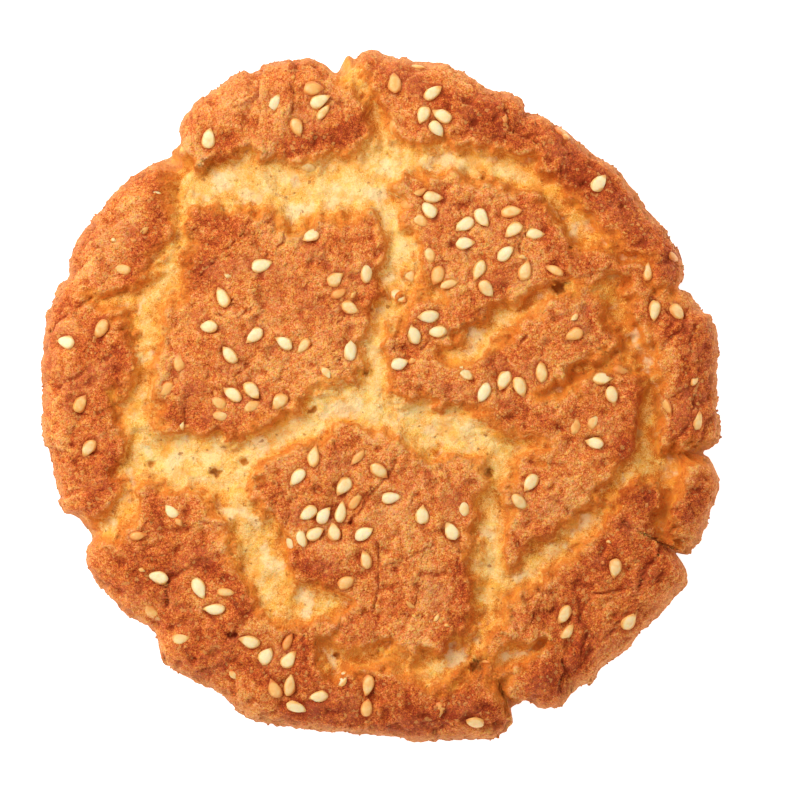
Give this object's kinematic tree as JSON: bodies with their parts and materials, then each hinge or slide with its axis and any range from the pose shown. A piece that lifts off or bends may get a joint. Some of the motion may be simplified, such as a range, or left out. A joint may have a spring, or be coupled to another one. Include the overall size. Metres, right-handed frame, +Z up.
{
  "type": "walnut cookie",
  "caption": "Round crisp walnut cookie with a browned crust split into plates by pale cracks, sprinkled with sesame seeds.",
  "frame": {"origin": "middle of the flat base, at its lowest level", "axes": "+Z up out of the crust, +Y towards the notch at the top of the outline, +X to the right seen from above"},
  "size_m": [0.0949, 0.097, 0.0131],
  "materials": {
    "crust": "matte"
  },
  "bodies": {
    "root": {"cookie": "crust"}
  },
  "joints": []
}
